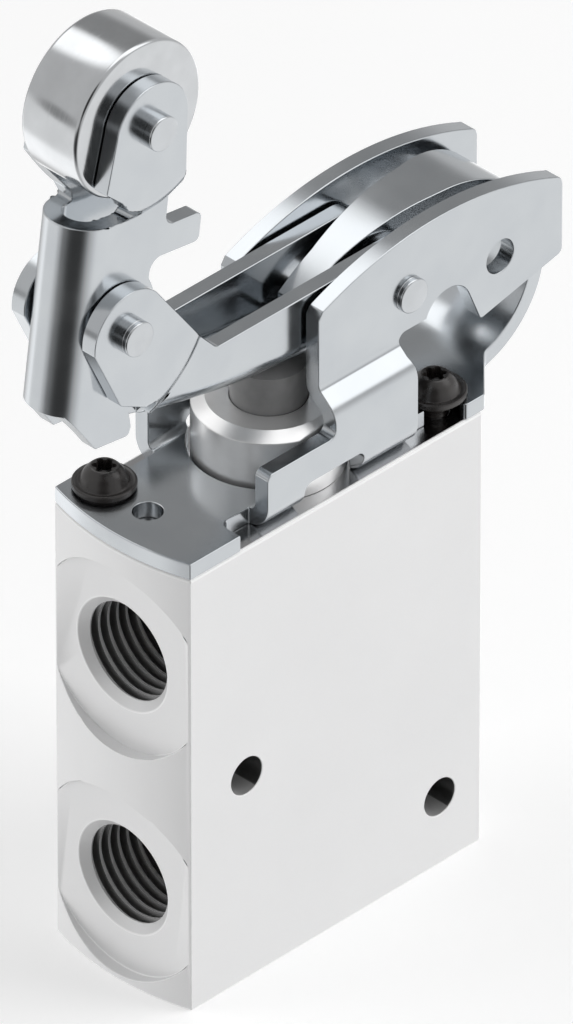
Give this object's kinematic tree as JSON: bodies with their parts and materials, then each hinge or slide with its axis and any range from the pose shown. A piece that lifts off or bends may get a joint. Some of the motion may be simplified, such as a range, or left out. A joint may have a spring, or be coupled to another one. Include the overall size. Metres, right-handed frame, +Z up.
{
  "type": "roller lever air valve",
  "caption": "Pneumatic valve block with threaded ports, a plunger, and a sheet-metal lever that carries a folding toggle arm and a steel roller.",
  "frame": {"origin": "centre of the block's bottom face, on the plunger's axis", "axes": "+Z up along the plunger, -X towards the face with two ports and the roller, Y across the block's width"},
  "size_m": [0.0701, 0.02, 0.1202],
  "materials": {
    "body_metal": "fine matt, bead blasted and clear anodised",
    "collar_metal": "fine matt turned",
    "bright_sheet": "bright zinc plate over rolled sheet",
    "roller_steel": "ground and polished",
    "pin_steel": "bright turned",
    "black_steel": "black oxide with an oil sheen",
    "dark_plastic": "dark grey moulded acetal",
    "seal_rubber": "black nitrile",
    "brass": "turned brass"
  },
  "bodies": {
    "valve": {"valve_body": "body_metal", "mounting_bracket": "bright_sheet", "bracket_screws": "black_steel", "guide_bushing": "collar_metal", "bushing_seal": "seal_rubber", "stem_wiper": "seal_rubber", "upper_cage": "brass", "middle_cage": "brass", "lower_cage": "brass", "spool_seals": "seal_rubber", "bottom_plug": "collar_metal", "return_spring": "pin_steel", "lever_pivot_pin": "pin_steel"},
    "stem": {"plunger": "dark_plastic", "valve_spool": "pin_steel"},
    "lever": {"lever": "bright_sheet", "lever_bush": "dark_plastic", "toggle_pin": "pin_steel", "toggle_spring": "pin_steel"},
    "toggle": {"toggle_arm": "bright_sheet", "toggle_bush": "dark_plastic", "roller_pin": "pin_steel"},
    "roller": {"roller": "roller_steel", "roller_bush": "dark_plastic"}
  },
  "joints": [
    {"name": "lever_pivot", "type": "hinge", "parent": "valve", "child": "lever", "pos_m": [0.0135, 0, 0.073], "axis": [0, -1, 0], "range_deg": [0, 11.8], "stiffness_Nm_per_rad": 0.2, "springref_deg": -28.65},
    {"name": "stem_slide", "type": "slide", "parent": "valve", "child": "stem", "axis": [0, 0, -1], "range_m": [0, 0.0028], "deforming": ["return_spring"]},
    {"name": "toggle_fold", "type": "hinge", "parent": "lever", "child": "toggle", "pos_m": [-0.02615, 0, 0.08705], "axis": [0, 1, 0], "range_deg": [0, 50], "stiffness_Nm_per_rad": 0.02, "springref_deg": -40.11, "deforming": ["toggle_spring"]},
    {"name": "roller_spin", "type": "hinge", "parent": "toggle", "child": "roller", "pos_m": [-0.02284, 0, 0.11122], "axis": [0, 1, 0], "continuous": true}
  ],
  "couplings": [
    {"joint": "stem_slide", "follows": "lever_pivot", "m_per_rad": 0.0135}
  ]
}
